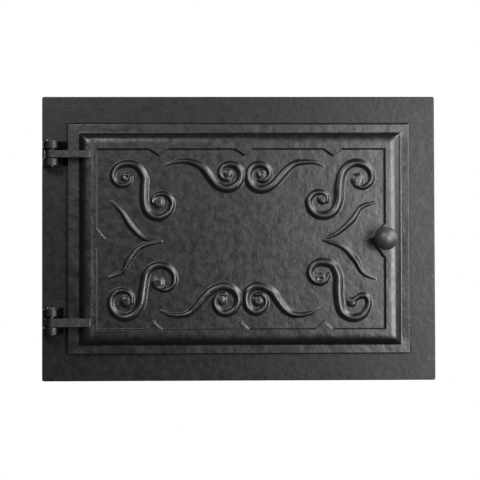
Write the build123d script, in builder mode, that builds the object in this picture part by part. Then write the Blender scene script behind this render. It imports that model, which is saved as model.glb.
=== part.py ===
from build123d import *
import math
import os

# Cast iron oven door: a frame plate with a rear collar, and a relief-cast door hung in it on two pins.
# All sizes are in millimetres. X runs to the right, Z up, and the front faces -Y.
# "Depth" and "rise" values are distances in front of the wall face, which is the back of the plate at Y = 0.

os.makedirs("parts", exist_ok=True)

# Frame plate and the opening through it
plate_w = 400.0
plate_h = 289.2
plate_t = 6.0
plate_corner = 2.0
edge_round = 1.0
plate_border_x = 39.0
plate_border_z = 39.1
opening_corner = 5.0

# Rear collar that goes into the masonry, set back from the opening so the plate's lip keeps the latch
lip = 8.0
collar_t = 4.5
collar_depth = 38.0
collar_corner = 9.0
fin_out = 15.0
fin_deep = 16.0
fin_t = 5.0
fin_inset = 42.0
anchor_r = 3.25

# Door flange, which lies over the plate round the opening
flange_over_x = 12.85
flange_over_z = 11.75
flange_t = 4.1
flange_round = 0.8
flange_gap = 0.3
flange_corner = 1.5

# Raised rim with an arched crown
rim_margin_left = 11.85
rim_margin_right = 8.85
rim_margin_top = 9.95
rim_margin_bottom = 9.15
crown_r = 14.0
crown_low = 6.4
root_r = 1.5
shell_t = 4.5
rim_w_left = 17.8
rim_w_right = 16.0
rim_w_top = 15.7
rim_w_bottom = 15.0

# Sunk panel inside the rim
panel_sink = 2.8
panel_draft = 36.0
panel_t = 4.5

# Teeth that point into the panel: half width, reach and apex lean
tooth_half = 8.6
tooth_reach = 7.0
tooth_reach_low = 8.0
tooth_lean = 1.6
teeth_top = (-80.3, 6.6, 96.3)
teeth_bottom = (-86.3, 1.8, 86.6)
left_tooth_half = 10.0
left_tooth_reach = 8.0
left_tooth_z = 0.0

# Knob seat, a larger tooth with an ogee lower side
knob_inset = 2.5
knob_z = -0.9
seat_up = 14.8
seat_down = 17.5
seat_reach = 14.7
seat_boss_r = 8.5
seat_boss_h = 1.2

# Scroll ribs of the relief: each has a crest along its middle and slightly swelling flanks.
# The pattern below is drawn for a flange of pattern_w by pattern_h. On another size its places move with
# the flange, and each scroll keeps its shape and shrinks or grows as a whole.
rib_rise = 3.0
rib_sink = 0.8
flank_swell = 0.58
stem_w = 10.4
coil_w = 8.6
inner_w = 6.6
eye_w = 5.0
tail_w = 3.2
bracket_w = 6.6
dish_r = 2.6
dish_lift = 1.2
pattern_w = 349.3
pattern_h = 235.7
pattern_dx = -0.2
pattern_dz = -0.8

# Hinges: vertical pins between ears on the plate, with an arm of the door between the ears
pin_out = 15.45
pin_rise = 16.0
pin_r = 3.0
running = 0.05
ear_r = 9.0
upper_arm_drop = 32.05
upper_arm_h = 7.3
upper_gaps = (1.7, 1.1)
lower_arm_climb = 32.45
lower_arm_h = 8.7
lower_gaps = (2.1, 0.4)
ear_h = 7.2
knuckle_r = 7.0
arm_over_crown = 6.0
arm_proud = 0.5
arm_root = 1.0
pin_head_r = 4.6
pin_head_h = 2.4
pin_tail = 1.2
end_chamfer = 0.4

# Knob, spindle and latch
ball_r = 11.5
neck_r = 5.2
neck_foot_r = 7.4
neck_h = 7.0
neck_waist = 0.4
foot_h = 1.0
stud_in = 12.0
knob_gap = 0.3
spindle_r = 4.5
square = 6.2
square_gap = 0.1
stud_r = 3.0
boss_r = 9.0
washer_t = 1.4
washer_r = 8.0
tongue_t = 5.0
tongue_w = 12.0
tongue_reach = 17.5
tongue_heel = 8.5
tongue_gap = 0.4
nut_flats = 10.0
nut_t = 5.0
stud_out = 1.6

# Derived places
opening_w = plate_w - 2 * plate_border_x
opening_h = plate_h - 2 * plate_border_z
flange_w = opening_w + 2 * flange_over_x
flange_h = opening_h + 2 * flange_over_z
flange_back = plate_t + flange_gap
flange_front = flange_back + flange_t
crown_low_h = flange_front - crown_low
crest = crown_low_h + crown_r
panel_front = crest - panel_sink
panel_back = panel_front - panel_t
rim_left = -flange_w / 2 + rim_margin_left
rim_right = flange_w / 2 - rim_margin_right
rim_top = flange_h / 2 - rim_margin_top
rim_bottom = -flange_h / 2 + rim_margin_bottom
crown_left = rim_left + rim_w_left
crown_right = rim_right - rim_w_right
crown_top = rim_top - rim_w_top
crown_bottom = rim_bottom + rim_w_bottom
upper_arm_z = flange_h / 2 - upper_arm_drop
lower_arm_z = -flange_h / 2 + lower_arm_climb
pin_x = -flange_w / 2 - pin_out
knob_x = crown_right - knob_inset
boss_back = washer_t - tongue_gap

# The crown is an arc that meets the flange in a small root fillet
root_angle = math.asin((crown_low + root_r) / (crown_r + root_r))
root_run = (crown_r + root_r) * math.cos(root_angle)
crown_run = root_run - 0.3 * root_r


pattern_size = min(flange_w / pattern_w, flange_h / pattern_h)


def fitted(x, z, anchor):
    """Place of a pattern point on the door, for an ornament that is laid out round an anchor."""
    return (
        anchor[0] * flange_w / pattern_w + (x - anchor[0]) * pattern_size + pattern_dx,
        anchor[1] * flange_h / pattern_h + (z - anchor[1]) * pattern_size + pattern_dz,
    )


def placed(plane_name, run, rise):
    """Sketch point for a place along the door and a rise from the wall face."""
    return (run, -rise) if plane_name == "XY" else (-rise, run)


def rim_section(plane_name, low, high):
    """Arched section of the rim from one side of the door to the other."""
    with BuildSketch(Plane.XY if plane_name == "XY" else Plane.YZ) as section:
        with BuildLine():
            ends = []
            for centre, way in ((low + crown_run, -1), (high - crown_run, 1)):
                foot = placed(plane_name, centre + way * root_run, flange_front)
                root_mid_angle = (root_angle - 1.5 * math.pi) / 2
                root_mid = placed(
                    plane_name,
                    centre + way * (root_run + root_r * math.cos(root_mid_angle)),
                    flange_front + root_r + root_r * math.sin(root_mid_angle),
                )
                join = placed(
                    plane_name,
                    centre + way * crown_r * math.cos(root_angle),
                    crown_low_h + crown_r * math.sin(root_angle),
                )
                crown_mid_angle = (root_angle + math.pi / 2) / 2
                crown_mid = placed(
                    plane_name,
                    centre + way * crown_r * math.cos(crown_mid_angle),
                    crown_low_h + crown_r * math.sin(crown_mid_angle),
                )
                top = placed(plane_name, centre, crest)
                base = placed(plane_name, centre + way * root_run, flange_front - flange_t / 2)
                ThreePointArc(foot, root_mid, join)
                ThreePointArc(join, crown_mid, top)
                Line(foot, base)
                ends.append((top, base))
            Line(ends[0][0], ends[1][0])
            Line(ends[0][1], ends[1][1])
        make_face()
    return section


def hollow_section(plane_name, low, high):
    """Section of the space behind the rim, one shell thickness inside the crown."""
    inner_r = crown_r - shell_t
    below = flange_back - flange_t / 2 - crown_low_h
    start = math.asin(below / inner_r)
    middle = (start + math.pi / 2) / 2
    with BuildSketch(Plane.XY if plane_name == "XY" else Plane.YZ) as section:
        with BuildLine():
            ends = []
            for centre, way in ((low + crown_run, -1), (high - crown_run, 1)):
                foot = placed(plane_name, centre + way * inner_r * math.cos(start), crown_low_h + below)
                mid = placed(
                    plane_name,
                    centre + way * inner_r * math.cos(middle),
                    crown_low_h + inner_r * math.sin(middle),
                )
                top = placed(plane_name, centre, crown_low_h + inner_r)
                ThreePointArc(foot, mid, top)
                ends.append((top, foot))
            Line(ends[0][0], ends[1][0])
            Line(ends[0][1], ends[1][1])
        make_face()
    return section


with BuildPart() as rim:
    along = rim_section("XY", rim_left, rim_right)
    extrude(along.sketch, amount=flange_h, dir=(0, 0, 1), both=True)
    across = rim_section("YZ", rim_bottom, rim_top)
    extrude(across.sketch, amount=flange_w, dir=(1, 0, 0), both=True, mode=Mode.INTERSECT)

with BuildPart() as hollow:
    along = hollow_section("XY", rim_left, rim_right)
    extrude(along.sketch, amount=flange_h, dir=(0, 0, 1), both=True)
    across = hollow_section("YZ", rim_bottom, rim_top)
    extrude(across.sketch, amount=flange_w, dir=(1, 0, 0), both=True, mode=Mode.INTERSECT)

# Outline of the panel at the crest, anticlockwise from the lower left, with its teeth
panel_outline = [(crown_left, crown_bottom)]
for x in [place * flange_w / pattern_w + pattern_dx for place in teeth_bottom]:
    panel_outline += [
        (x - tooth_half, crown_bottom),
        (x, crown_bottom + tooth_reach_low),
        (x + tooth_half, crown_bottom),
    ]
panel_outline += [
    (crown_right, crown_bottom),
    (crown_right, knob_z - seat_down),
    (crown_right - 0.38 * seat_reach, knob_z - 0.66 * seat_down),
    (crown_right - 0.65 * seat_reach, knob_z - 0.37 * seat_down),
    (crown_right - seat_reach, knob_z + 0.04 * seat_down),
    (crown_right, knob_z + seat_up),
    (crown_right, crown_top),
]
for x in [place * flange_w / pattern_w + pattern_dx for place in reversed(teeth_top)]:
    panel_outline += [
        (x + tooth_half, crown_top),
        (x, crown_top - tooth_reach),
        (x - tooth_half - tooth_lean, crown_top),
    ]
panel_outline += [
    (crown_left, crown_top),
    (crown_left, left_tooth_z + left_tooth_half),
    (crown_left + left_tooth_reach, left_tooth_z),
    (crown_left, left_tooth_z - left_tooth_half),
]


def moved_in(points, distance):
    """An anticlockwise outline with every side moved inwards by a distance."""
    moved = []
    for i, here in enumerate(points):
        before = points[i - 1]
        after = points[(i + 1) % len(points)]
        first = math.hypot(here[0] - before[0], here[1] - before[1])
        second = math.hypot(after[0] - here[0], after[1] - here[1])
        n1 = ((before[1] - here[1]) / first, (here[0] - before[0]) / first)
        n2 = ((here[1] - after[1]) / second, (after[0] - here[0]) / second)
        share = distance / (1 + n1[0] * n2[0] + n1[1] * n2[1])
        moved.append((here[0] + share * (n1[0] + n2[0]), here[1] + share * (n1[1] + n2[1])))
    return moved


# The recess narrows towards the panel, as its walls are drafted
draft_run = panel_sink * math.tan(math.radians(panel_draft))
with BuildPart() as recess:
    for rise, inset in ((crest, 0.0), (panel_front, draft_run)):
        with BuildSketch(Plane.XZ.offset(rise)):
            with BuildLine():
                Polyline(*moved_in(panel_outline, inset), close=True)
            make_face()
    loft(ruled=True)


def volute(centre, start, way, radii):
    """Points of a scroll that winds in: one radius per quarter turn, with a halfway point between."""
    points = []
    for i in range(2 * len(radii) - 1):
        angle = math.radians(start + way * 45 * i)
        radius = (radii[i // 2] + radii[(i + 1) // 2]) / 2
        points.append((centre[0] + radius * math.cos(angle), centre[1] + radius * math.sin(angle)))
    return points


def between(stations, share):
    """Width and rise of a rib at a share of its length."""
    for (s0, w0, r0), (s1, w1, r1) in zip(stations, stations[1:]):
        if share <= s1:
            part = (share - s0) / (s1 - s0)
            return (w0 + part * (w1 - w0), r0 + part * (r1 - r0))
    return stations[-1][1:]


def rib(points, anchor, stations):
    """Crested rib along the points; stations are (share of length, width, rise)."""
    steps = 2 * len(points)
    with BuildPart() as body:
        with BuildLine(Plane.XZ.offset(panel_front)) as line:
            Spline(*[fitted(x, z, anchor) for x, z in points])
        path = line.wires()[0]
        for i in range(steps + 1):
            share = i / steps
            width, rise = between(stations, share)
            width *= pattern_size
            with BuildSketch(Plane(origin=path @ share, x_dir=(0, -1, 0), z_dir=path % share)):
                with BuildLine():
                    Line((-rib_sink, -width / 2), (0, -width / 2))
                    ThreePointArc((0, -width / 2), (flank_swell * rise, -width / 4), (rise, 0))
                    ThreePointArc((rise, 0), (flank_swell * rise, width / 4), (0, width / 2))
                    Line((0, width / 2), (-rib_sink, width / 2))
                    Line((-rib_sink, width / 2), (-rib_sink, -width / 2))
                make_face()
        loft()
    return body.part


def eye(x, z, anchor, radius, dished):
    """Low dome that ends a scroll, with a dish in its top where the casting shows one."""
    px, pz = fitted(x, z, anchor)
    rise = 0.8 * rib_rise
    ball = ((radius * pattern_size) ** 2 + rise ** 2) / (2 * rise)
    with BuildPart() as dome:
        with Locations((px, -(panel_front + rise - ball), pz)):
            Sphere(ball)
        with Locations((px, -(panel_front - rib_sink), pz)):
            Box(
                4 * ball, 4 * ball, 4 * ball,
                align=(Align.CENTER, Align.MIN, Align.CENTER),
                mode=Mode.SUBTRACT,
            )
        if dished:
            with Locations((px, -(panel_front + rise + dish_lift), pz)):
                Sphere(dish_r, mode=Mode.SUBTRACT)
    return dome.part


# A rib is widest at its stem and narrows along both coils to its eyes
s_stations = (
    (0.0, eye_w, 0.7 * rib_rise),
    (0.15, inner_w, 0.85 * rib_rise),
    (0.32, coil_w, 0.95 * rib_rise),
    (0.5, stem_w, rib_rise),
    (0.68, coil_w, 0.95 * rib_rise),
    (0.85, inner_w, 0.85 * rib_rise),
    (1.0, eye_w, 0.7 * rib_rise),
)
c_stations = (
    (0.0, tail_w, 0.5 * rib_rise),
    (0.3, coil_w, 0.9 * rib_rise),
    (0.6, coil_w, 0.95 * rib_rise),
    (0.85, inner_w, 0.85 * rib_rise),
    (1.0, eye_w, 0.7 * rib_rise),
)
b_stations = (
    (0.0, tail_w, 0.45 * rib_rise),
    (0.45, bracket_w, 0.8 * rib_rise),
    (1.0, tail_w, 0.5 * rib_rise),
)

# Corner scrolls: a coil in the corner, a stem, and a coil towards the middle
upper_left = list(reversed(volute((-115.4, 63.0), 0, 1, (19.3, 13.7, 12.7, 8.1, 5.6))))
upper_left += [(-96.1, 53.0)]
upper_left += volute((-81.9, 37.6), 180, 1, (14.2, 15.8, 14.2, 8.0, 6.0))
lower_left = list(reversed(volute((-116.1, -63.0), -10, -1, (16.3, 16.3, 14.2, 10.7, 7.2))))
lower_left += [(-97.2, -50.0)]
lower_left += volute((-78.5, -41.2), 153, -1, (16.6, 14.2, 12.9, 9.1))
upper_right = list(reversed(volute((122.8, 62.0), 155, -1, (18.0, 14.2, 12.2, 8.1))))
upper_right += [(102.4, 54.0)]
upper_right += volute((84.6, 38.6), 0, -1, (16.8, 15.2, 13.7, 8.6, 5.2))
lower_right = list(reversed(volute((118.2, -66.1), 166, 1, (17.3, 14.7, 13.2, 8.0))))
lower_right += [(100.8, -48.0)]
lower_right += volute((83.6, -36.1), -8, 1, (17.3, 12.7, 12.2, 8.6, 7.2))

# Middle scrolls: a tail along the border that swings down into a coil beside the centre line
top_left = [(-73.4, 75.7), (-64.0, 78.6), (-54.6, 79.3), (-44.5, 77.3), (-36.3, 72.2), (-29.2, 63.0)]
top_left += [(-22.1, 54.9)] + volute((-10.9, 66.1), 270, 1, (14.8, 13.4, 9.9, 8.1, 5.4))
top_right = [(86.1, 74.2), (79.0, 77.5), (72.4, 78.3), (57.2, 76.7), (50.1, 71.7), (41.9, 63.0)]
top_right += [(33.8, 54.4)] + volute((21.6, 65.1), 270, -1, (14.8, 12.2, 10.9, 9.7, 5.4))
bottom_left = [(-79.0, -72.7), (-72.0, -76.3), (-64.8, -77.3), (-56.0, -77.0), (-49.6, -74.7)]
bottom_left += [(-41.4, -66.1), (-34.3, -57.9), (-27.2, -51.8)]
bottom_left += volute((-15.0, -62.0), 90, -1, (13.9, 14.3, 13.7, 9.5, 5.6))
bottom_right = [(81.1, -70.1), (74.5, -74.5), (67.3, -76.7), (60.0, -77.4), (52.1, -75.7), (45.0, -70.1)]
bottom_right += [(38.9, -62.0), (32.8, -53.4)]
bottom_right += volute((17.5, -62.0), 90, 1, (14.3, 10.7, 12.7, 9.8, 5.6))

# Side brackets: two strokes each that meet in a point towards the middle
bracket_strokes = (
    [(-128.8, 38.1), (-118.7, 27.4), (-109.5, 13.2), (-95.3, 0.5), (-79.0, -2.3)],
    [(-131.9, -39.1), (-118.7, -33.0), (-110.5, -19.3), (-99.4, -7.6), (-79.0, -2.0)],
    [(138.5, 37.1), (124.3, 32.0), (116.1, 20.3), (100.9, 6.6), (85.6, -1.0)],
    [(138.5, -40.7), (126.3, -34.6), (118.2, -21.3), (105.0, -8.1), (85.6, -1.0)],
)

# Each ornament: its anchor, its centreline, its stations and the eyes that end its coils
ornaments = (
    ((-99, 50), upper_left, s_stations, ((-114.4, 62.8, 4.8, True), (-82.2, 37.7, 5.8, False))),
    ((-99, -53), lower_left, s_stations, ((-114.6, -63.2, 5.8, False), (-82.5, -44.3, 6.3, False))),
    ((103, 50), upper_right, s_stations, ((120.9, 59.8, 6.2, False), (85.4, 40.4, 5.2, False))),
    ((101, -53), lower_right, s_stations, ((118.3, -62.2, 5.6, False), (82.9, -41.2, 6.3, True))),
    ((-30, 68), top_left, c_stations, ((-11.3, 66.6, 4.6, False),)),
    ((42, 68), top_right, c_stations, ((22.8, 66.2, 4.9, True),)),
    ((-40, -66), bottom_left, c_stations, ((-18.2, -61.9, 4.8, False),)),
    ((44, -66), bottom_right, c_stations, ((19.2, -63.2, 4.9, False),)),
    ((-104, 0), bracket_strokes[0], b_stations, ()),
    ((-104, 0), bracket_strokes[1], b_stations, ()),
    ((110, 0), bracket_strokes[2], b_stations, ()),
    ((110, 0), bracket_strokes[3], b_stations, ()),
)
relief = []
for anchor, points, stations, eyes in ornaments:
    relief.append(rib(points, anchor, stations))
    for x, z, radius, dished in eyes:
        relief.append(eye(x, z, anchor, radius, dished))

# Arms of the door: centre height, thickness along the pin, gap above and gap below
hinges = (
    (upper_arm_z, upper_arm_h, upper_gaps),
    (lower_arm_z, lower_arm_h, lower_gaps),
)

with BuildPart() as door:
    with BuildSketch(Plane.XZ.offset(flange_back)):
        RectangleRounded(flange_w, flange_h, flange_corner)
    extrude(amount=flange_t)
    fillet(door.faces().sort_by(Axis.Y)[0].edges(), flange_round)
    add(rim.part)
    add(hollow.part, mode=Mode.SUBTRACT)
    with BuildSketch(Plane.XZ.offset(panel_back)):
        with Locations(((crown_left + crown_right) / 2, (crown_top + crown_bottom) / 2)):
            Rectangle(crown_right - crown_left + 2 * shell_t, crown_top - crown_bottom + 2 * shell_t)
    extrude(amount=panel_t)
    add(recess.part, mode=Mode.SUBTRACT)
    for z, thick, gaps in hinges:
        with BuildSketch(Plane.XY.offset(z - thick / 2)):
            with BuildLine():
                Polyline(
                    (pin_x, -(pin_rise + knuckle_r)),
                    (crown_left - arm_over_crown, -(crest + arm_proud)),
                    (crown_left - 0.75 * arm_over_crown, -(crest - arm_root)),
                    (rim_left, -(flange_front - arm_root)),
                    (-flange_w / 2 + arm_root, -(flange_front - arm_root)),
                    (pin_x, -(pin_rise - knuckle_r)),
                    close=True,
                )
            make_face()
            with Locations((pin_x, -pin_rise)):
                Circle(knuckle_r)
        extrude(amount=thick)
        with BuildSketch(Plane.XY.offset(z - thick / 2)):
            with Locations((pin_x, -pin_rise)):
                Circle(pin_r + running)
        extrude(amount=thick, mode=Mode.SUBTRACT)
    with BuildSketch(Plane.XZ.offset(panel_back)):
        with Locations((knob_x, knob_z)):
            Circle(seat_boss_r)
    extrude(amount=crest + seat_boss_h - panel_back)
    with BuildSketch(Plane.XZ.offset(boss_back)):
        with Locations((knob_x, knob_z)):
            Circle(boss_r)
    extrude(amount=panel_back - boss_back + 1)
    for piece in relief:
        add(piece)
    with BuildSketch(Plane.XZ.offset(boss_back - 1)):
        with Locations((knob_x, knob_z)):
            Circle(spindle_r + running)
    extrude(amount=crest + seat_boss_h - boss_back + 2, mode=Mode.SUBTRACT)
door.part.label = "door"
export_step(door.part, "parts/door.step")

with BuildPart() as frame:
    with BuildSketch(Plane.XZ):
        RectangleRounded(plate_w, plate_h, plate_corner)
    extrude(amount=plate_t)
    fillet(frame.faces().sort_by(Axis.Y)[0].edges(), edge_round)
    collar_x = opening_w / 2 + lip + collar_t
    collar_z = opening_h / 2 + lip + collar_t
    with BuildSketch(Plane.XZ):
        RectangleRounded(2 * collar_x, 2 * collar_z, collar_corner)
        RectangleRounded(
            opening_w + 2 * lip, opening_h + 2 * lip, collar_corner - collar_t, mode=Mode.SUBTRACT
        )
    extrude(amount=-collar_depth)
    with BuildSketch(Plane.XZ):
        RectangleRounded(opening_w, opening_h, opening_corner)
    extrude(amount=plate_t, mode=Mode.SUBTRACT)
    for side in (-1, 1):
        for end in (-1, 1):
            fin_x = side * (collar_x - fin_inset)
            with BuildSketch(Plane.YZ.offset(fin_x - fin_t / 2)):
                with BuildLine():
                    Polyline(
                        (collar_depth / 2 - fin_deep / 2, end * (collar_z - 1)),
                        (collar_depth / 2 - fin_deep / 2, end * (collar_z + fin_out - fin_deep / 2)),
                        (collar_depth / 2 + fin_deep / 2, end * (collar_z + fin_out - fin_deep / 2)),
                        (collar_depth / 2 + fin_deep / 2, end * (collar_z - 1)),
                        close=True,
                    )
                make_face()
                with Locations((collar_depth / 2, end * (collar_z + fin_out - fin_deep / 2))):
                    Circle(fin_deep / 2)
                    Circle(anchor_r, mode=Mode.SUBTRACT)
            extrude(amount=fin_t)
    for z, thick, gaps in hinges:
        for low in (z + thick / 2 + gaps[0], z - thick / 2 - gaps[1] - ear_h):
            with BuildSketch(Plane.XY.offset(low)):
                with Locations((pin_x, -(plate_t - arm_root + pin_rise) / 2)):
                    Rectangle(2 * ear_r, pin_rise - plate_t + arm_root)
                with Locations((pin_x, -pin_rise)):
                    Circle(ear_r)
                    Circle(pin_r + running, mode=Mode.SUBTRACT)
            extrude(amount=ear_h)
frame.part.label = "frame"
export_step(frame.part, "parts/frame.step")

# Hinge pins: a domed head on the upper ear, and a short tail below the lower ear
for name, (z, thick, gaps) in zip(("hinge_pin_upper", "hinge_pin_lower"), hinges):
    head_z = z + thick / 2 + gaps[0] + ear_h
    tail_z = z - thick / 2 - gaps[1] - ear_h - pin_tail
    with BuildPart() as pin:
        with BuildSketch(Plane.XY.offset(tail_z)):
            with Locations((pin_x, -pin_rise)):
                Circle(pin_r)
        extrude(amount=head_z - tail_z)
        with BuildSketch(Plane.XY.offset(head_z)):
            with Locations((pin_x, -pin_rise)):
                Circle(pin_head_r)
        extrude(amount=pin_head_h)
        fillet(pin.faces().sort_by(Axis.Z)[-1].edges(), 0.8 * pin_head_h)
        chamfer(pin.faces().sort_by(Axis.Z)[0].edges(), end_chamfer)
    pin.part.label = name
    export_step(pin.part, f"parts/{name}.step")

# Knob: a ball on a waisted neck, turned about the spindle's axis
foot_rise = crest + seat_boss_h + knob_gap
ball_rise = foot_rise + neck_h + math.sqrt(ball_r ** 2 - neck_r ** 2)
with BuildPart() as knob:
    with BuildSketch(Plane.XY.offset(knob_z)):
        with BuildLine():
            Line((knob_x, -foot_rise), (knob_x + neck_foot_r, -foot_rise))
            Line((knob_x + neck_foot_r, -foot_rise), (knob_x + neck_foot_r, -(foot_rise + foot_h)))
            ThreePointArc(
                (knob_x + neck_foot_r, -(foot_rise + foot_h)),
                (knob_x + neck_r + neck_waist, -(foot_rise + 0.42 * neck_h)),
                (knob_x + neck_r, -(foot_rise + neck_h)),
            )
            ThreePointArc(
                (knob_x + neck_r, -(foot_rise + neck_h)),
                (knob_x + ball_r, -ball_rise),
                (knob_x, -(ball_rise + ball_r)),
            )
            Line((knob_x, -(ball_rise + ball_r)), (knob_x, -foot_rise))
        make_face()
    revolve(axis=Axis((knob_x, 0, knob_z), (0, -1, 0)))
    with BuildSketch(Plane.XZ.offset(foot_rise)):
        with Locations((knob_x, knob_z)):
            Circle(stud_r + running)
    extrude(amount=stud_in + 1, mode=Mode.SUBTRACT)
knob.part.label = "knob"
export_step(knob.part, "parts/knob.step")

tongue_front = -tongue_gap
tongue_back = tongue_front - tongue_t
nut_front = tongue_back - washer_t
nut_back = nut_front - nut_t
with BuildPart() as spindle:
    for low, high, radius in (
        (tongue_front, foot_rise, spindle_r),
        (foot_rise, foot_rise + stud_in, stud_r),
        (nut_back - stud_out, tongue_back + running, stud_r),
    ):
        with BuildSketch(Plane.XZ.offset(low)):
            with Locations((knob_x, knob_z)):
                Circle(radius)
        extrude(amount=high - low)
    with BuildSketch(Plane.XZ.offset(tongue_back + running)):
        with Locations((knob_x, knob_z)):
            Rectangle(square, square)
    extrude(amount=tongue_t - running)
    chamfer(spindle.faces().sort_by(Axis.Y)[-1].edges(), end_chamfer)
spindle.part.label = "latch_spindle"
export_step(spindle.part, "parts/latch_spindle.step")

# Tongue: hangs down when the door is free, and a quarter turn puts it behind the plate's lip
with BuildPart() as tongue:
    with BuildSketch(Plane.XZ.offset(tongue_back)):
        with Locations((knob_x, knob_z - (tongue_reach - tongue_heel) / 2)):
            SlotOverall(tongue_reach + tongue_heel, tongue_w, rotation=90)
        with Locations((knob_x, knob_z)):
            Rectangle(square + 2 * square_gap, square + 2 * square_gap, mode=Mode.SUBTRACT)
    extrude(amount=tongue_t)
tongue.part.label = "latch_tongue"
export_step(tongue.part, "parts/latch_tongue.step")

washers = (
    ("boss_washer", boss_back - washer_t, washer_r, spindle_r + 2 * running),
    ("nut_washer", nut_front, washer_r - 1.5, stud_r + 2 * running),
)
for name, back, outer, inner in washers:
    with BuildPart() as washer:
        with BuildSketch(Plane.XZ.offset(back)):
            with Locations((knob_x, knob_z)):
                Circle(outer)
                Circle(inner, mode=Mode.SUBTRACT)
        extrude(amount=washer_t)
    washer.part.label = name
    export_step(washer.part, f"parts/{name}.step")

with BuildPart() as nut:
    with BuildSketch(Plane.XZ.offset(nut_back)):
        with Locations((knob_x, knob_z)):
            RegularPolygon(nut_flats / 2, 6, major_radius=False)
            Circle(stud_r + running, mode=Mode.SUBTRACT)
    extrude(amount=nut_t)
nut.part.label = "latch_nut"
export_step(nut.part, "parts/latch_nut.step")
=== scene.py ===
import math

import bmesh
import bpy
import numpy as np
from mathutils import Matrix, Vector


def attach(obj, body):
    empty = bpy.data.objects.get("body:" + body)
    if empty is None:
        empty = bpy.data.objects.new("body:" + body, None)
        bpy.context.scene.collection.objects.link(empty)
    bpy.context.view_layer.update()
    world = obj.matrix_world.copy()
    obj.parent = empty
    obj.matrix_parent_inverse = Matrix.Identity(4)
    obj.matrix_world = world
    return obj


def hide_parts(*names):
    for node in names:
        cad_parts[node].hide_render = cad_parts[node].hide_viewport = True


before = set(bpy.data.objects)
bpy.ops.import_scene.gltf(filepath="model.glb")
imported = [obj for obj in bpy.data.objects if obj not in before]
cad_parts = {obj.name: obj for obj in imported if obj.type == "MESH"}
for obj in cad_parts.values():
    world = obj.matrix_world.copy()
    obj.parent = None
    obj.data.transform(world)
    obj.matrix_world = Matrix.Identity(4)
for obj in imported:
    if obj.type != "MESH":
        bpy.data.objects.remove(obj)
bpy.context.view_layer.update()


scene = bpy.context.scene
scene.view_settings.view_transform = "Standard"

# Camera: square to the front, a little left of and below the middle, with a long lens
CAM_PLACE = Vector((-0.0284, -1.400, -0.0312))
CAM_YAW, CAM_PITCH, CAM_ROLL = 1.210, 1.214, -0.158
FOCAL_PX, PICTURE_PX, SENSOR_MM = 1369.98, 480, 36.0


def add_camera():
    """The camera that took the photo, as nearly as the object's edges tell."""
    data = bpy.data.cameras.new("camera")
    data.sensor_width = SENSOR_MM
    data.lens = FOCAL_PX / PICTURE_PX * SENSOR_MM
    camera = bpy.data.objects.new("camera", data)
    scene.collection.objects.link(camera)
    turn = (
        Matrix.Rotation(math.radians(-CAM_YAW), 4, "Z")
        @ Matrix.Rotation(math.radians(90 + CAM_PITCH), 4, "X")
        @ Matrix.Rotation(math.radians(CAM_ROLL), 4, "Z")
    )
    camera.matrix_world = Matrix.Translation(CAM_PLACE) @ turn
    scene.camera = camera


# Sizes of the door's face, in mm, the same as the casting's
FLANGE_W, FLANGE_H, FLANGE_FRONT = 347.7, 234.5, 10.4
FLANGE_CORNER_R = 1.5
CREST, PANEL = 18.0, 15.2
CROWN_R, CROWN_LOW, ROOT_R = 14.0, 6.4, 1.5
RIM_L, RIM_R, RIM_T, RIM_B = -162.0, 165.0, 107.3, -108.1
CROWN_LEFT, CROWN_RIGHT, CROWN_TOP, CROWN_BOTTOM = -144.2, 149.0, 91.6, -93.1
KNOB_X, KNOB_Z, KNOB_HOLE_R = 146.5, -0.9, 4.6
SEAT_R, SEAT_RISE, SEAT_FLANK, SEAT_REACH = 8.0, 1.2, 3.0, 1.5
ROOT_ANGLE = math.asin((CROWN_LOW + ROOT_R) / (CROWN_R + ROOT_R))
ROOT_RUN = (CROWN_R + ROOT_R) * math.cos(ROOT_ANGLE)
CROWN_RUN = ROOT_RUN - 0.3 * ROOT_R

# How this door's face departs from the plain section, in mm, as the photo's shading shows it
ARCH_SQUEEZE_L, ARCH_SQUEEZE_R = 0.98, 0.84
CROWN_FALL, CROWN_FALL_FROM, CROWN_FALL_RUN = 0.85, 10.0, 6.5
CROWN_SLOPE, CROWN_SLOPE_FROM, CROWN_SLOPE_RUN = 0.38, 0.5, 9.3
SAG, SAG_BLEND, SAG_END_PAST, SAG_END_RUN = 0.6, 3.0, 2.0, 14.0
WALL_RUN, WALL_RUN_LESS_L, WALL_RUN_MORE_R = 2.3, 1.4, 1.6
WALL_BACK, WALL_BACK_MORE_R, WALL_REACH, RELIEF_INSET = 0.15, 1.0, 2.0, 0.5
EDGE_WEAR, EDGE_WEAR_RUN = 0.9, 1.0

# How softly neighbouring shapes run into each other, in mm
BAR_BLEND, SEAT_BLEND, RIB_BLEND, EYE_BLEND = 0.3, 0.4, 0.6, 0.9
MITRE_SHARP, MITRE_ROUND, MITRE_RUN = 0.02, 2.0, 3.0

# Slow unevenness of a sand casting: lattice size and rise in mm, and seed
WAVES = ((31.0, 0.10, 3), (13.0, 0.06, 5), (5.5, 0.045, 7), (2.6, 0.030, 11))

MM_PER_M = 1000.0
FAR_OFF, TINY = 1e9, 1e-12
LOW_32 = 0xFFFFFFFF


def smooth_min(a, b, k):
    """The lower of two heights, rounded where they cross within k."""
    h = np.clip(0.5 + 0.5 * (b - a) / k, 0, 1)
    return b + (a - b) * h - k * h * (1 - h)


def smooth_max(a, b, k):
    """The higher of two heights, rounded where they cross within k."""
    return -smooth_min(-a, -b, k)


def ease(t):
    """Smooth step from 0 to 1."""
    t = np.clip(t, 0, 1)
    return t * t * (3 - 2 * t)


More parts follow.
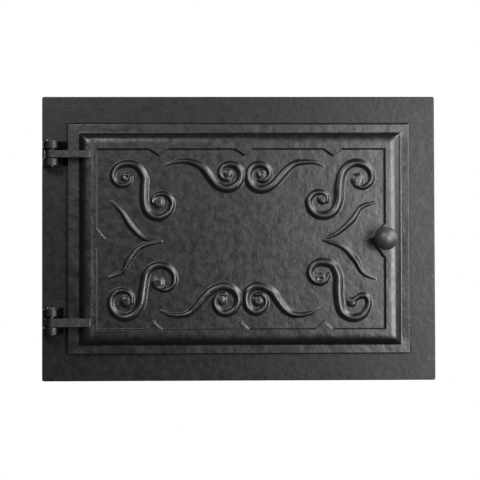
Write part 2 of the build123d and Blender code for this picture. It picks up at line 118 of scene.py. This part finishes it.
# Relief: centrelines with (share, width, rise) stations, as on the casting
RISE = 3.0
STEM, COIL, INNER, EYE, TAIL, BRACKET, TIP = 10.4, 8.6, 6.6, 5.0, 3.2, 6.6, 2.0
CORNER_STATIONS = (
    (0, EYE, 0.7), (0.15, INNER, 0.85), (0.32, COIL, 0.95), (0.5, STEM, 1.0),
    (0.68, COIL, 0.95), (0.85, INNER, 0.85), (1, EYE, 0.7),
)
MIDDLE_STATIONS = (
    (0, TIP, 0.2), (0.1, TAIL + 1.2, 0.55), (0.3, COIL, 0.9),
    (0.6, COIL, 0.95), (0.85, INNER, 0.85), (1, EYE, 0.7),
)
BRACKET_STATIONS = (
    (0, TIP, 0.2), (0.12, TAIL + 0.6, 0.5), (0.45, BRACKET, 0.8), (0.9, TAIL + 0.6, 0.5), (1, TIP, 0.2),
)
# The size of the flange on which the relief's points were placed, and where its middle lay
DRAWN_W, DRAWN_H, DRAWN_X, DRAWN_Z = 349.3, 235.7, 0.2, 0.8


def fitted(x, z):
    """A point of the relief on the flange's real size."""
    return (x * FLANGE_W / DRAWN_W - DRAWN_X, z * FLANGE_H / DRAWN_H - DRAWN_Z)


def volute(centre, start, way, radii):
    """Points of a scroll that winds in: one radius per quarter turn, with a halfway point between."""
    points = []
    for i in range(2 * len(radii) - 1):
        angle = math.radians(start + way * 45 * i)
        radius = (radii[i // 2] + radii[(i + 1) // 2]) / 2
        points.append((centre[0] + radius * math.cos(angle), centre[1] + radius * math.sin(angle)))
    return points


def unwound(*volute_shape):
    """The same points from the eye outwards."""
    return list(reversed(volute(*volute_shape)))


upper_left = unwound((-115.4, 63.0), 0, 1, (19.3, 13.7, 12.7, 8.1, 5.6))
upper_left += [(-96.1, 53.0)] + volute((-81.9, 37.6), 180, 1, (14.2, 15.8, 14.2, 8.0, 6.0))
lower_left = unwound((-116.1, -63.0), -10, -1, (16.3, 16.3, 14.2, 10.7, 7.2))
lower_left += [(-97.2, -50.0)] + volute((-78.5, -41.2), 153, -1, (16.6, 14.2, 12.9, 9.1))
upper_right = unwound((122.8, 62.0), 155, -1, (18.0, 14.2, 12.2, 8.1))
upper_right += [(102.4, 54.0)] + volute((84.6, 38.6), 0, -1, (16.8, 15.2, 13.7, 8.6, 5.2))
lower_right = [(114.6, -64.2), (119.4, -60.4), (124.8, -57.6), (129.6, -58.6), (131.9, -64.0)]
lower_right += unwound((118.2, -66.1), 166, 1, (17.3, 14.7, 13.2))
lower_right += [(100.8, -48.0)] + volute((83.6, -36.1), -8, 1, (17.3, 12.7, 12.2, 8.6, 7.2))
top_left = [
    (-73.4, 75.7), (-64.0, 78.6), (-54.6, 79.3), (-44.5, 77.3), (-36.3, 72.2), (-29.2, 63.0), (-22.1, 54.9),
]
top_left += volute((-10.9, 66.1), 270, 1, (14.8, 13.4, 9.9, 8.1, 5.4))
top_right = [
    (86.1, 74.2), (79.0, 77.5), (72.4, 78.3), (57.2, 76.7), (50.1, 71.7), (41.9, 63.0), (33.8, 54.4),
]
top_right += volute((21.6, 65.1), 270, -1, (14.8, 12.2, 10.9, 9.7, 5.4))
bottom_left = [
    (-79.0, -72.7), (-72.0, -76.3), (-64.8, -77.3), (-56.0, -77.0),
    (-49.6, -74.7), (-41.4, -66.1), (-34.3, -57.9), (-27.2, -51.8),
]
bottom_left += volute((-15.0, -62.0), 90, -1, (13.9, 14.3, 13.7, 9.5, 5.6))
bottom_right = [
    (81.1, -70.1), (74.5, -74.5), (67.3, -76.7), (60.0, -77.4),
    (52.1, -75.7), (45.0, -70.1), (38.9, -62.0), (32.8, -53.4),
]
bottom_right += volute((17.5, -62.0), 90, 1, (14.3, 10.7, 12.7, 9.8, 5.6))
brackets = (
    [(-128.8, 38.1), (-118.7, 27.4), (-109.5, 13.2), (-95.3, 0.5), (-79.0, -2.3)],
    [(-131.9, -39.1), (-118.7, -33.0), (-110.5, -19.3), (-99.4, -7.6), (-79.0, -2.0)],
    [(138.5, 37.1), (124.3, 32.0), (116.1, 20.3), (100.9, 6.6), (85.6, -1.0)],
    [(138.5, -40.7), (126.3, -34.6), (118.2, -21.3), (105.0, -8.1), (85.6, -1.0)],
)

# Every rib: its points, its stations and how broad it came out of the mould
RIBS = [
    (upper_left, CORNER_STATIONS, 0.88),
    (lower_left, CORNER_STATIONS, 0.94),
    (upper_right, CORNER_STATIONS, 1.0),
    (lower_right, CORNER_STATIONS, 1.0),
]
RIBS += [(points, MIDDLE_STATIONS, 1.0) for points in (top_left, top_right, bottom_left, bottom_right)]
RIBS += [(points, BRACKET_STATIONS, 1.0) for points in brackets]
CREST_SHARE, CREST_SOFTNESS = 0.35, 0.05
# Samples of a centreline taken at once, and how far past the rib's foot they are felt, in mm
STRETCH, RIB_REACH = 18, 2.0

# Eyes that end the coils: place, radius and the depth of the dish in their middle
EYES = [
    (-114.4, 62.8, 4.8, 1.3), (-82.2, 37.7, 5.8, 0.3), (-114.6, -63.2, 5.8, 0.3), (-82.5, -44.3, 6.3, 0.3),
    (120.9, 59.8, 6.2, 0.2), (85.4, 40.4, 5.2, 0.2), (114.6, -64.4, 4.6, 0.2), (82.9, -41.2, 6.3, 1.4),
    (-11.3, 66.6, 4.6, 0.0), (22.8, 66.2, 4.9, 0.7), (-18.2, -61.9, 4.8, 0.0), (19.2, -63.2, 4.9, 0.3),
]
EYE_RISE, EYE_FOOT, EYE_REACH, EYE_DOME, DISH_SPREAD = 0.66 * RISE, 0.4, 2.5, 0.25, 0.38

# Pointed teeth of the panel's edge: middle, width to the left and width to the right
TEETH_TOP = ((-80.1, 10.6, 8.4), (6.4, 10.2, 7.8), (95.7, 9.6, 9.4))
TEETH_BOTTOM = ((-86.1, 9.0, 8.7), (1.6, 9.4, 8.0), (86.0, 9.1, 8.8))
TOOTH_TOP_H, TOOTH_BOTTOM_H = 7.0, 8.0
TOOTH_KNOB = (
    (CROWN_RIGHT, -18.4), (CROWN_RIGHT - 2.2, -17.6), (143.4, -12.4), (139.4, -7.3), (134.3, -0.2),
    (CROWN_RIGHT, 13.9),
)
TOOTH_HINGE = ((CROWN_LEFT, 10.2), (-136.2, 0.0), (CROWN_LEFT, -9.8))


def panel_outline():
    """The sunk panel's edge at the crest, anticlockwise from the lower left, with its teeth."""
    points = [(CROWN_LEFT, CROWN_BOTTOM)]
    for x, to_left, to_right in TEETH_BOTTOM:
        tip = (x, CROWN_BOTTOM + TOOTH_BOTTOM_H)
        points += [(x - to_left, CROWN_BOTTOM), tip, (x + to_right, CROWN_BOTTOM)]
    points += [(CROWN_RIGHT, CROWN_BOTTOM), *TOOTH_KNOB, (CROWN_RIGHT, CROWN_TOP)]
    for x, to_left, to_right in reversed(TEETH_TOP):
        tip = (x, CROWN_TOP - TOOTH_TOP_H)
        points += [(x + to_right, CROWN_TOP), tip, (x - to_left, CROWN_TOP)]
    points += [(CROWN_LEFT, CROWN_TOP), *TOOTH_HINGE]
    return np.array(points)


OUTLINE = panel_outline()


def spline(points, step=0.55, pieces=24, window=6):
    """Centripetal curve through the points, sampled evenly and smoothed over a few samples."""
    p = np.array(points, float)
    p = np.vstack([2 * p[0] - p[1], p, 2 * p[-1] - p[-2]])
    out = []
    for i in range(1, len(p) - 2):
        a, b, c, d = p[i - 1], p[i], p[i + 1], p[i + 2]
        k1, k2, k3 = (max(np.hypot(*(v - u)), 1e-6) ** 0.5 for u, v in ((a, b), (b, c), (c, d)))
        t1, t2, t3 = k1, k1 + k2, k1 + k2 + k3
        t = np.linspace(t1, t2, pieces, endpoint=False)[:, None]
        ab = ((t1 - t) * a + t * b) / t1
        bc = ((t2 - t) * b + (t - t1) * c) / (t2 - t1)
        cd = ((t3 - t) * c + (t - t2) * d) / (t3 - t2)
        abc = ((t2 - t) * ab + t * bc) / t2
        bcd = ((t3 - t) * bc + (t - t1) * cd) / (t3 - t1)
        out.append(((t2 - t) * abc + (t - t1) * bcd) / (t2 - t1))
    out.append(p[-2][None])
    line = np.vstack(out)
    run = np.concatenate([[0], np.cumsum(np.hypot(*np.diff(line, axis=0).T))])
    at = np.linspace(0, run[-1], int(run[-1] / step) + 2)
    line = np.stack([np.interp(at, run, line[:, 0]), np.interp(at, run, line[:, 1])], -1)
    kernel = np.exp(-np.linspace(-2, 2, 2 * window + 1) ** 2)
    kernel /= kernel.sum()
    before = 2 * line[0] - line[window:0:-1]
    after = 2 * line[-1] - line[-2:-2 - window:-1]
    padded = np.vstack([before, line, after])
    return np.stack([np.convolve(padded[:, i], kernel, "valid") for i in (0, 1)], -1)


def inside_distance(x, z, outline):
    """Distance to an outline, positive inside it, and the nearest edge's side: 1 for left, -1 for right."""
    best = np.full(x.shape, FAR_OFF)
    side = np.zeros(x.shape)
    inside = np.zeros(x.shape, bool)
    for (ax, az), (bx, bz) in zip(outline, np.roll(outline, -1, axis=0)):
        ex, ez = bx - ax, bz - az
        t = np.clip(((x - ax) * ex + (z - az) * ez) / (ex * ex + ez * ez), 0, 1)
        far = np.hypot(x - ax - t * ex, z - az - t * ez)
        side = np.where(far < best, -ez / math.hypot(ex, ez), side)
        best = np.minimum(best, far)
        inside ^= ((az > z) != (bz > z)) & (x < ex * (z - az) / (ez + TINY) + ax)
    return np.where(inside, best, -best), side


def rim_rise(u):
    """Rise of the rim above the wall at a distance inwards from its outer foot."""
    v = CROWN_RUN - u
    arc = FLANGE_FRONT - CROWN_LOW + np.sqrt(np.maximum(CROWN_R**2 - v**2, 0))
    root = FLANGE_FRONT + ROOT_R - np.sqrt(np.maximum(ROOT_R**2 - (v - ROOT_RUN) ** 2, 0))
    join = CROWN_R * math.cos(ROOT_ANGLE)
    return np.where(v <= 0, CREST, np.where(v < join, arc, np.where(v < ROOT_RUN, root, FLANGE_FRONT)))


def rim_height(x, z):
    """Rise of the rim's four arched bars, mitred at the corners."""
    # on the hinge side the crown falls a little towards the panel
    fall = CROWN_FALL * ease((x - RIM_L - CROWN_FALL_FROM) / CROWN_FALL_RUN)
    left = rim_rise((x - RIM_L) * ARCH_SQUEEZE_L) - fall
    # and on the knob's side it slopes away from the panel at once
    slope = np.clip((x - CROWN_RIGHT - CROWN_SLOPE_FROM) / CROWN_SLOPE_RUN, 0, 1)
    right = rim_rise((RIM_R - x) * ARCH_SQUEEZE_R) - CROWN_SLOPE * np.sin(math.pi * slope)
    across = smooth_min(left, right, BAR_BLEND)
    along = smooth_min(rim_rise(RIM_T - z), rim_rise(z - RIM_B), BAR_BLEND)
    rise = np.minimum(across, along) - FLANGE_FRONT
    return smooth_min(across, along, MITRE_SHARP + MITRE_ROUND * ease(rise / MITRE_RUN))


def lattice(x, z, size, seed):
    """Smooth value noise between -1 and 1 on a square lattice."""
    gx, gz = x / size, z / size
    ix, iz = np.floor(gx).astype(np.int64), np.floor(gz).astype(np.int64)
    fx, fz = ease(gx - ix), ease(gz - iz)

    def corner(i, j):
        n = (i * 374761393 + j * 668265263 + seed * 2147483647) & LOW_32
        for factor in (1274126177, 2246822519, 3266489917):
            n = ((n ^ (n >> 15)) * factor) & LOW_32
        return ((n ^ (n >> 16)) & 0xFFFF) / 32767.5 - 1.0

    a = corner(ix, iz) * (1 - fx) + corner(ix + 1, iz) * fx
    b = corner(ix, iz + 1) * (1 - fx) + corner(ix + 1, iz + 1) * fx
    return a * (1 - fz) + b * fz


def rib_profile(q):
    """A rounded crest and flanks that steepen outwards: 1 on the centreline, 0 at the foot."""
    soft = np.sqrt(q * q + CREST_SOFTNESS) - math.sqrt(CREST_SOFTNESS)
    return 1 - CREST_SHARE * soft - (1 - CREST_SHARE) * q * q


def rib_line(points, stations, breadth):
    """A rib's centreline with its width and rise at every sample of it."""
    line = spline([fitted(*p) for p in points])
    steps = np.hypot(*np.diff(line, axis=0).T)
    share = np.concatenate([[0], np.cumsum(steps)]) / steps.sum()
    at, widths, rises = np.array(stations).T
    return line, np.interp(share, at, widths) * breadth, np.interp(share, at, rises) * RISE


def stretch_height(x, z, way, wide, high):
    """Height of one stretch of a rib over the points near it."""
    best = np.full(x.shape, FAR_OFF)
    width = np.ones(x.shape)
    rise = np.zeros(x.shape)
    for i in range(len(way) - 1):
        step = way[i + 1] - way[i]
        from_x, from_z = x - way[i, 0], z - way[i, 1]
        t = np.clip((from_x * step[0] + from_z * step[1]) / (step @ step + TINY), 0, 1)
        far = np.hypot(from_x - t * step[0], from_z - t * step[1])
        closer = far < best
        best = np.where(closer, far, best)
        width = np.where(closer, wide[i] + t * (wide[i + 1] - wide[i]), width)
        rise = np.where(closer, high[i] + t * (high[i + 1] - high[i]), rise)
    return PANEL + rise * np.maximum(rib_profile(2 * best / width), -1)


def rib_field(x, z, points, stations, breadth):
    """Height of one rib near its centreline, taken a short stretch at a time."""
    line, width, rise = rib_line(points, stations, breadth)
    field = np.full(x.shape, -FAR_OFF)
    for start in range(0, len(line) - 1, STRETCH):
        part = slice(start, start + STRETCH + 1)
        way, wide, high = line[part], width[part], rise[part]
        reach = wide.max() / 2 + RIB_REACH
        low, top = way.min(axis=0) - reach, way.max(axis=0) + reach
        near = (x > low[0]) & (x < top[0]) & (z > low[1]) & (z < top[1])
        if near.any():
            field[near] = np.maximum(field[near], stretch_height(x[near], z[near], way, wide, high))
    return field


def relief_height(x, z):
    """The panel with its ribs and eyes, each blended into what is below it."""
    h = np.full(x.shape, PANEL)
    for points, stations, breadth in RIBS:
        field = rib_field(x, z, points, stations, breadth)
        near = field > PANEL - RISE - 1
        h[near] = smooth_max(h[near], field[near], RIB_BLEND)
    for eye_x, eye_z, radius, dish in EYES:
        centre_x, centre_z = fitted(eye_x, eye_z)
        far = np.hypot(x - centre_x, z - centre_z)
        near = far < radius + EYE_REACH
        q = far[near] / (radius + EYE_FOOT)
        dome = EYE_RISE * (1 - EYE_DOME * q**2 - (1 - EYE_DOME) * q**4)
        body = PANEL + dome - dish * np.exp(-((q / DISH_SPREAD) ** 2))
        h[near] = smooth_max(h[near], body, EYE_BLEND)
    return h


def face_rise(x, z):
    """Rise of the door's front above the wall face, in mm."""
    h = rim_height(x, z)
    # the panel's wall is steepest on the hinge side and shallowest on the knob's side
    inside, side = inside_distance(x, z, OUTLINE)
    to_left, to_right = np.maximum(side, 0), np.maximum(-side, 0)
    run = WALL_RUN - WALL_RUN_LESS_L * to_left + WALL_RUN_MORE_R * to_right
    wall = ease((inside + WALL_BACK + WALL_BACK_MORE_R * to_right) / run)
    h = np.where(inside > -WALL_REACH, np.minimum(h, CREST - (CREST - PANEL) * wall), h)
    h = np.where(inside > RELIEF_INSET, np.maximum(h, relief_height(x, z)), h)
    from_knob = np.hypot(x - KNOB_X, z - KNOB_Z)
    seat = CREST + SEAT_RISE - SEAT_FLANK * np.maximum(from_knob - SEAT_R, 0)
    h = np.where(from_knob < SEAT_R + SEAT_REACH, smooth_max(h, seat, SEAT_BLEND), h)
    # the flange on the knob's side has warped a little: its outer edge stands up
    inwards = np.clip((FLANGE_W / 2 - x) / (FLANGE_W / 2 - RIM_R), 0, 1)
    sag = SAG * inwards * ease((x - RIM_R + SAG_BLEND) / SAG_BLEND)
    h = h - sag * ease((RIM_T + SAG_END_PAST - np.abs(z)) / SAG_END_RUN)
    h = h + sum(rise * lattice(x, z, size, seed) for size, rise, seed in WAVES)
    edge = np.minimum(FLANGE_W / 2 - np.abs(x), FLANGE_H / 2 - np.abs(z))
    return h - EDGE_WEAR * (1 - ease(edge / EDGE_WEAR_RUN)) ** 2


# Steps of the face's grid and how far each band of finer steps goes past its mark, in mm
FLAT_STEP, RIM_STEP, PANEL_STEP, EDGE_STEP, WALL_STEP = 1.6, 0.9, 0.72, 0.4, 0.3
EDGE_BAND, RIM_BAND, PANEL_BAND, WALL_OUT, WALL_IN = 2.0, 3.0, 1.0, 0.8, 1.6
GRID_SLACK, SLOPE_REACH = 1e-6, 0.3


def grid_lines(half, rim_low, crown_low, crown_high, rim_high):
    """Grid lines from edge to edge: finer at the edges, on the rim, on the panel and finest at its walls."""
    finer = (
        (-half, -half + EDGE_BAND, EDGE_STEP),
        (rim_low - RIM_BAND, crown_low - PANEL_BAND, RIM_STEP),
        (crown_low - PANEL_BAND, crown_high + PANEL_BAND, PANEL_STEP),
        (crown_low - WALL_OUT, crown_low + WALL_IN, WALL_STEP),
        (crown_high - WALL_IN, crown_high + WALL_OUT, WALL_STEP),
        (crown_high + PANEL_BAND, rim_high + RIM_BAND, RIM_STEP),
        (half - EDGE_BAND, half, EDGE_STEP),
    )
    out = [-half]
    while out[-1] < half - GRID_SLACK:
        steps = [step for low, high, step in finer if low - GRID_SLACK <= out[-1] < high]
        out.append(min(out[-1] + min(steps, default=FLAT_STEP), half))
    return np.array(out)


def face_normals(x, z, reach=SLOPE_REACH):
    """Normals of the face from its slopes over a short reach."""
    dx = (face_rise(x + reach, z) - face_rise(x - reach, z)) / (2 * reach)
    dz = (face_rise(x, z + reach) - face_rise(x, z - reach)) / (2 * reach)
    normals = np.stack([-dx, -np.ones_like(dx), -dz], -1)
    return normals / np.linalg.norm(normals, axis=-1, keepdims=True)


def corners_rounded(x, z):
    """Grid points with those beyond the flange's rounded corners pulled onto them."""
    straight_x, straight_z = FLANGE_W / 2 - FLANGE_CORNER_R, FLANGE_H / 2 - FLANGE_CORNER_R
    cx, cz = np.clip(x, -straight_x, straight_x), np.clip(z, -straight_z, straight_z)
    out = np.hypot(x - cx, z - cz)
    pull = np.where(out > FLANGE_CORNER_R, FLANGE_CORNER_R / np.maximum(out, TINY), 1.0)
    return cx + (x - cx) * pull, cz + (z - cz) * pull


def linked(name, mesh):
    """An object for a mesh, in the scene."""
    o = bpy.data.objects.new(name, mesh)
    scene.collection.objects.link(o)
    return o


def face_piece(name, x, z, h, normals):
    """One piece of the face from its grid, with a hole where the knob's spindle goes in."""
    rounded_x, rounded_z = corners_rounded(x, z)
    points = np.stack([rounded_x, -h, rounded_z], -1).reshape(-1, 3) / MM_PER_M
    index = np.arange(x.size).reshape(x.shape)
    corners = (index[:-1, :-1], index[:-1, 1:], index[1:, 1:], index[1:, :-1])
    quads = np.stack(corners, -1).reshape(-1, 4)
    middle = points[quads].mean(axis=1) * MM_PER_M
    quads = quads[np.hypot(middle[:, 0] - KNOB_X, middle[:, 2] - KNOB_Z) > KNOB_HOLE_R]
    mesh = bpy.data.meshes.new(name)
    mesh.from_pydata(points.tolist(), [], quads.tolist())
    mesh.update()
    mesh.polygons.foreach_set("use_smooth", [True] * len(mesh.polygons))
    mesh.normals_split_custom_set_from_vertices(normals.reshape(-1, 3).tolist())
    print(name, len(quads) * 2, "triangles")
    return linked(name, mesh)


def build_face():
    """The door's front as two pieces that meet at one grid line."""
    xs = grid_lines(FLANGE_W / 2, RIM_L, CROWN_LEFT, CROWN_RIGHT, RIM_R)
    zs = grid_lines(FLANGE_H / 2, RIM_B, CROWN_BOTTOM, CROWN_TOP, RIM_T)
    x, z = np.meshgrid(xs, zs)
    h, normals = face_rise(x, z), face_normals(x, z)
    middle = len(xs) // 2
    halves = (("door_face_left", slice(0, middle + 1)), ("door_face_right", slice(middle, len(xs))))
    return [face_piece(name, x[:, part], z[:, part], h[:, part], normals[:, part]) for name, part in halves]


# Hinge arms of the casting: height of the middle and thickness, in mm
ARMS = ((85.2, 7.3), (-84.8, 8.7))
ARM_SLACK = 0.02
# From which rise a face of the casting can be part of the front, and of the panel's walls and relief
FRONT_FROM, RELIEF_FROM = 9.3, 14.0
FACES_OUT, STANDS_UP = -0.02, 0.3


def on_arm(face):
    """Whether a face of the casting belongs to a hinge arm."""
    places = [v.co * MM_PER_M for v in face.verts]
    return any(
        all(abs(p.z - middle) <= thick / 2 + ARM_SLACK and p.x < CROWN_LEFT - 1 for p in places)
        for middle, thick in ARMS
    )


def in_front(face):
    """Whether a face of the casting lies where the height field takes its place."""
    rises = [-v.co.y * MM_PER_M for v in face.verts]
    if min(rises) < FRONT_FROM or on_arm(face):
        return False
    stands_up = abs(face.normal.y) <= STANDS_UP and max(rises) > RELIEF_FROM
    return face.normal.y < FACES_OUT or stands_up


def build_back():
    """The door behind its face: walls, hollow back, boss and hinge arms, from the casting's own shape."""
    shape = bmesh.new()
    shape.from_mesh(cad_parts["door"].data)
    shape.normal_update()
    bmesh.ops.delete(shape, geom=[face for face in shape.faces if in_front(face)], context="FACES")
    mesh = bpy.data.meshes.new("door_back")
    shape.to_mesh(mesh)
    shape.free()
    return linked("door_back", mesh)


# White surroundings for the camera and a dim room for the paint
ROOM_GREY = 0.05


def white_surroundings():
    """A world that the camera sees white and the object sees dim."""
    world = bpy.data.worlds.new("white")
    scene.world = world
    world.use_nodes = True
    nodes, links = world.node_tree.nodes, world.node_tree.links
    nodes.clear()
    out = nodes.new("ShaderNodeOutputWorld")
    mix = nodes.new("ShaderNodeMixShader")
    path = nodes.new("ShaderNodeLightPath")
    white = nodes.new("ShaderNodeBackground")
    white.inputs["Color"].default_value = (1, 1, 1, 1)
    room = nodes.new("ShaderNodeBackground")
    room.inputs["Color"].default_value = (ROOM_GREY, ROOM_GREY, ROOM_GREY, 1)
    links.new(path.outputs["Is Camera Ray"], mix.inputs[0])
    links.new(room.outputs[0], mix.inputs[1])
    links.new(white.outputs[0], mix.inputs[2])
    links.new(mix.outputs[0], out.inputs[0])


# Area lamps: azimuth to the right of the front and elevation in degrees, distance, the point aimed at,
# width and height in metres, and power in watts. The back ones only light the object's back.
MIDDLE, HINGE_SIDE, BEHIND = (0, 0, 0), (-0.05, 0, 0.02), (0, 0.02, 0)
SOFTBOXES = {
    "softbox_right": (43, 21, 1.35, MIDDLE, 0.92, 0.72, 4.6),
    "softbox_near": (28, 8, 1.35, MIDDLE, 0.66, 0.50, 6.6),
    "softbox_low": (36, -7, 1.35, MIDDLE, 0.60, 0.46, 9.8),
    "softbox_high": (70, 38, 1.35, MIDDLE, 0.50, 0.50, 7.6),
    "softbox_far": (88, 20, 1.30, MIDDLE, 1.10, 0.80, 7.8),
    "softbox_left": (-27, 31, 1.25, HINGE_SIDE, 0.46, 0.46, 6.2),
    "softbox_back_left": (-148, 24, 1.60, BEHIND, 1.00, 0.80, 22.0),
    "softbox_back_right": (156, 12, 1.60, BEHIND, 0.90, 0.90, 20.0),
    "softbox_back_high": (178, 46, 1.60, BEHIND, 0.90, 0.60, 12.0),
}


def softbox(name, azimuth, elevation, distance, aim, width, height, power):
    """Area lamp seen from the object in a direction, turned towards a point of it."""
    data = bpy.data.lights.new(name, "AREA")
    data.shape = "RECTANGLE"
    data.size, data.size_y = width, height
    data.energy = power
    az, el = math.radians(azimuth), math.radians(elevation)
    place = distance * Vector((math.sin(az) * math.cos(el), -math.cos(az) * math.cos(el), math.sin(el)))
    facing = (Vector(aim) - place).to_track_quat("-Z", "Y").to_matrix().to_4x4()
    lamp = bpy.data.objects.new(name, data)
    lamp.matrix_world = Matrix.Translation(place) @ facing
    scene.collection.objects.link(lamp)


# Bumps of the paint: scale, detail and height in metres, from slow unevenness to sand grain
BUMPS = ((28, 2, 0.00042), (170, 3, 0.00024), (900, 2, 0.000070))
BUMP_ROUGHNESS, BEVEL_SAMPLES = 0.55, 6
# Noises behind the gloss and the tint: scale, detail and roughness
GLOSS_NOISE, TINT_NOISE = (140, 3, 0.6), (60, 4, 0.6)
GLOSS_LOW, GLOSS_HIGH, GLOSS_SPREAD = 0.3, 0.7, 0.07
TINT_DARK, TINT_LIGHT = 0.7, 1.4
# Painted shade beside the hinge ears, dark boxes where the plate lies in shadow: centre x and z, half width
# and half height, in metres
PAINTED_SHADE = ((-0.1787, 0.0865, 0.0046, 0.0125), (-0.1808, -0.0833, 0.0026, 0.0135))
# Soft inner and outer edge of the painted shade in metres, how much it dulls the shine, and its grey
PAINTED_SHADE_INNER, PAINTED_SHADE_OUTER, PAINTED_SHADE_DULL, PAINTED_SHADE_GREY = 0.0008, 0.0010, 0.9, 0.0008


def grey(value):
    """A grey as a colour."""
    return (value, value, value, 1)


def noise(tree, place, scale, detail, roughness):
    """Noise between 0 and 1 over the object."""
    node = tree.nodes.new("ShaderNodeTexNoise")
    for key, value in (("Scale", scale), ("Detail", detail), ("Roughness", roughness)):
        node.inputs[key].default_value = value
    tree.links.new(place, node.inputs["Vector"])
    return node.outputs["Fac"]


def ramp(tree, source, from_low, from_high, to_low, to_high):
    """A value carried over from one range to another."""
    node = tree.nodes.new("ShaderNodeMapRange")
    ends = {"From Min": from_low, "From Max": from_high, "To Min": to_low, "To Max": to_high}
    for key, value in ends.items():
        node.inputs[key].default_value = value
    tree.links.new(source, node.inputs["Value"])
    return node.outputs["Result"]


def maths(tree, kind, *values):
    """One sum over numbers and other nodes' results."""
    node = tree.nodes.new("ShaderNodeMath")
    node.operation = kind
    for key, value in enumerate(values):
        if isinstance(value, float):
            node.inputs[key].default_value = value
        else:
            tree.links.new(value, node.inputs[key])
    return node.outputs[0]


def painted_shade_cover(tree, place, shade_boxes):
    """How much the boxes of painted shade cover a point, from 0 to 1, with soft edges."""
    split = tree.nodes.new("ShaderNodeSeparateXYZ")
    tree.links.new(place, split.inputs[0])
    cover = None
    for centre_x, centre_z, half_x, half_z in shade_boxes:
        spans = []
        for axis, centre, half in (("X", centre_x, half_x), ("Z", centre_z, half_z)):
            away = maths(tree, "ABSOLUTE", maths(tree, "SUBTRACT", split.outputs[axis], centre))
            spans.append(ramp(tree, away, half - PAINTED_SHADE_INNER, half + PAINTED_SHADE_OUTER, 1.0, 0.0))
        box = maths(tree, "MULTIPLY", *spans)
        cover = box if cover is None else maths(tree, "MAXIMUM", cover, box)
    return cover


def under_painted_shade(tree, shader, colour, specular, cover):
    """The colour under its painted shade, which darkens it and dulls the shine as well."""
    dulled = maths(tree, "SUBTRACT", specular, maths(tree, "MULTIPLY", cover, specular * PAINTED_SHADE_DULL))
    tree.links.new(dulled, shader["Specular IOR Level"])
    black = tree.nodes.new("ShaderNodeMixRGB")
    black.inputs["Color2"].default_value = grey(PAINTED_SHADE_GREY)
    tree.links.new(cover, black.inputs["Fac"])
    tree.links.new(colour, black.inputs["Color1"])
    return black.outputs["Color"]


def cast_surface(tree, place, grain, soften):
    """The normal of a casting: edges softened first, then one bump on another."""
    normal = None
    if soften:
        bevel = tree.nodes.new("ShaderNodeBevel")
        bevel.samples = BEVEL_SAMPLES
        bevel.inputs["Radius"].default_value = soften
        normal = bevel.outputs["Normal"]
    for scale, detail, distance in BUMPS:
        bump = tree.nodes.new("ShaderNodeBump")
        bump.inputs["Strength"].default_value = grain
        bump.inputs["Distance"].default_value = distance
        tree.links.new(noise(tree, place, scale, detail, BUMP_ROUGHNESS), bump.inputs["Height"])
        if normal:
            tree.links.new(normal, bump.inputs["Normal"])
        normal = bump.outputs["Normal"]
    return normal


def cast_iron(name, base, rough, specular, grain, soften=0.0, shade_boxes=()):
    """Black stove paint over sand-cast iron, with varied gloss and tint, sand grain and boxes of painted
    shade.
    """
    material = bpy.data.materials.new(name)
    material.use_nodes = True
    tree = material.node_tree
    shader = tree.nodes["Principled BSDF"].inputs
    shader["Base Color"].default_value = grey(base)
    shader["Roughness"].default_value = rough
    shader["Specular IOR Level"].default_value = specular
    place = tree.nodes.new("ShaderNodeTexCoord").outputs["Object"]
    mottle = noise(tree, place, *GLOSS_NOISE)
    gloss = ramp(tree, mottle, GLOSS_LOW, GLOSS_HIGH, rough - GLOSS_SPREAD, rough + GLOSS_SPREAD)
    tree.links.new(gloss, shader["Roughness"])
    tint = tree.nodes.new("ShaderNodeMixRGB")
    tint.inputs["Color1"].default_value = grey(base * TINT_DARK)
    tint.inputs["Color2"].default_value = grey(base * TINT_LIGHT)
    tree.links.new(noise(tree, place, *TINT_NOISE), tint.inputs["Fac"])
    colour = tint.outputs["Color"]
    # the boxes of painted shade darken the colour and dull the shine
    if shade_boxes:
        colour = under_painted_shade(tree, shader, colour, specular, painted_shade_cover(tree, place, shade_boxes))
    tree.links.new(colour, shader["Base Color"])
    tree.links.new(cast_surface(tree, place, grain, soften), shader["Normal"])
    return material


add_camera()
pieces = build_face() + [build_back()]
white_surroundings()
for name, lamp in SOFTBOXES.items():
    softbox(name, *lamp)

# Base grey, roughness, specular level, grain, softened edge in metres, and boxes of painted shade
# only the frame carries the painted shade beside the hinge ears
frame_iron = cast_iron("frame_iron", 0.004, 0.42, 0.45, 1.0, 0.0009, PAINTED_SHADE)
door_iron = cast_iron("door_iron", 0.004, 0.36, 0.80, 1.0)
door_back_iron = cast_iron("door_back_iron", 0.004, 0.36, 0.80, 1.0, 0.0009)
knob_iron = cast_iron("knob_iron", 0.035, 0.50, 0.95, 1.0)
dark_steel = cast_iron("dark_steel", 0.020, 0.40, 0.50, 0.4, 0.0004)
NODE_PAINT = {"frame": frame_iron, "knob": knob_iron}
for name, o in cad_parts.items():
    o.data.materials.clear()
    o.data.materials.append(NODE_PAINT.get(name, dark_steel))
for o in pieces:
    o.data.materials.append(door_back_iron if o.name == "door_back" else door_iron)
    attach(o, "door")
    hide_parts("door")
